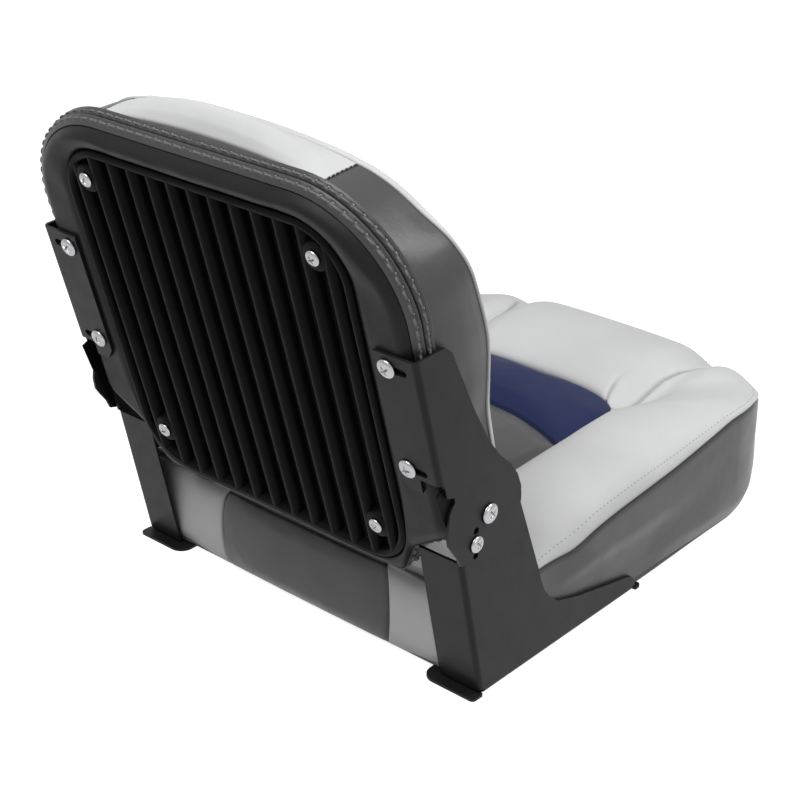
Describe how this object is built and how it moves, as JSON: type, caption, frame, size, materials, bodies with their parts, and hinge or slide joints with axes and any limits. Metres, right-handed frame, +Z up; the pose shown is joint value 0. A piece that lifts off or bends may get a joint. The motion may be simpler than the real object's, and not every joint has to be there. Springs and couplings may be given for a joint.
{
  "type": "boat seat",
  "caption": "Low-back folding boat seat: contoured vinyl cushion on a board, steel side hinges and a padded backrest with a ribbed rear shell.",
  "frame": {"origin": "centre of the square pedestal bolt pattern on the underside of the seat's base board", "axes": "+Z up; the seat faces -Y; the sitter's right hand is -X"},
  "size_m": [0.4396, 0.6287, 0.4925],
  "materials": {
    "light_vinyl": "light grey marine vinyl, fine grain, satin",
    "charcoal_vinyl": "charcoal marine vinyl, fine grain, satin",
    "navy_vinyl": "navy marine vinyl, fine grain, satin",
    "black_steel": "satin black powder coat",
    "black_plastic": "moulded, matte black",
    "bright_steel": "bright zinc",
    "plywood": "marine plywood, sealed",
    "foam": "open-cell cushion foam"
  },
  "bodies": {
    "base": {"seat_board": "plywood", "seat_foam": "foam", "seat_bolster": "light_vinyl", "seat_boxing": "charcoal_vinyl", "seat_insert_rear": "charcoal_vinyl", "seat_insert_front": "navy_vinyl", "seat_rear_panel": "charcoal_vinyl", "seat_rear_side_panel_left": "light_vinyl", "seat_rear_side_panel_right": "light_vinyl", "lower_bracket_left": "black_steel", "lower_bracket_right": "black_steel", "pivot_bolt_left": "bright_steel", "pivot_bolt_right": "bright_steel", "pivot_nut_left": "bright_steel", "pivot_nut_right": "bright_steel", "pedestal_tee_nut_1": "bright_steel", "pedestal_tee_nut_2": "bright_steel", "pedestal_tee_nut_3": "bright_steel", "pedestal_tee_nut_4": "bright_steel", "foot_tee_nut_1": "bright_steel", "foot_tee_nut_2": "bright_steel", "foot_tee_nut_3": "bright_steel", "foot_tee_nut_4": "bright_steel", "foot_screw_1": "bright_steel", "foot_screw_2": "bright_steel", "foot_screw_3": "bright_steel", "foot_screw_4": "bright_steel"},
    "backrest": {"upper_bracket_left": "black_steel", "upper_bracket_right": "black_steel", "hinge_washer_left": "black_plastic", "hinge_washer_right": "black_plastic", "stop_bolt_left": "bright_steel", "stop_bolt_right": "bright_steel", "stop_nut_left": "bright_steel", "stop_nut_right": "bright_steel", "ribbed_panel": "black_plastic", "panel_screw_1": "bright_steel", "panel_screw_2": "bright_steel", "panel_screw_3": "bright_steel", "panel_screw_4": "bright_steel", "bracket_screw_1": "bright_steel", "bracket_screw_2": "bright_steel", "bracket_screw_3": "bright_steel", "bracket_screw_4": "bright_steel", "back_board": "plywood", "back_tee_nut_1": "bright_steel", "back_tee_nut_2": "bright_steel", "back_tee_nut_3": "bright_steel", "back_tee_nut_4": "bright_steel", "back_facing": "charcoal_vinyl", "back_band": "charcoal_vinyl", "back_bolster": "light_vinyl", "back_insert_lower": "charcoal_vinyl", "back_insert_upper": "navy_vinyl", "back_side_panel_left": "charcoal_vinyl", "back_side_panel_right": "charcoal_vinyl", "back_top_panel": "light_vinyl", "back_end_panel": "charcoal_vinyl", "back_foam": "foam"}
  },
  "joints": [
    {"name": "backrest_fold", "type": "hinge", "parent": "base", "child": "backrest", "pos_m": [0, 0.2476, 0.1794], "axis": [1, 0, 0], "range_deg": [0, 100]}
  ]
}
